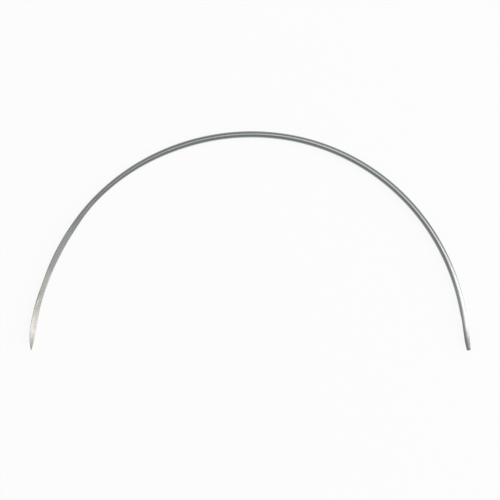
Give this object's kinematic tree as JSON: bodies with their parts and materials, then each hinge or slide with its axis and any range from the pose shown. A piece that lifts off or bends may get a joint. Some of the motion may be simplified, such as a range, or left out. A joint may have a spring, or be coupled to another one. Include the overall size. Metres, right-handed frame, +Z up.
{
  "type": "curved sewing needle",
  "caption": "Half-circle steel hand-sewing needle with a long pierced eye, a round bent shank, a pressed flat neck and a triangular leaf point.",
  "frame": {"origin": "middle of the needle's box in plan, on the surface that the needle lies on", "axes": "+X along the chord from the tip to the eye, +Y towards the top of the arch, +Z up, across the plane of the bend"},
  "size_m": [0.0972, 0.0484, 0.0021],
  "materials": {
    "needle_steel": "drawn and polished carbon steel, ground bright on the leaf"
  },
  "bodies": {
    "root": {"eye_end": "needle_steel", "round_shank": "needle_steel", "flat_neck": "needle_steel", "leaf_point": "needle_steel"}
  },
  "joints": []
}
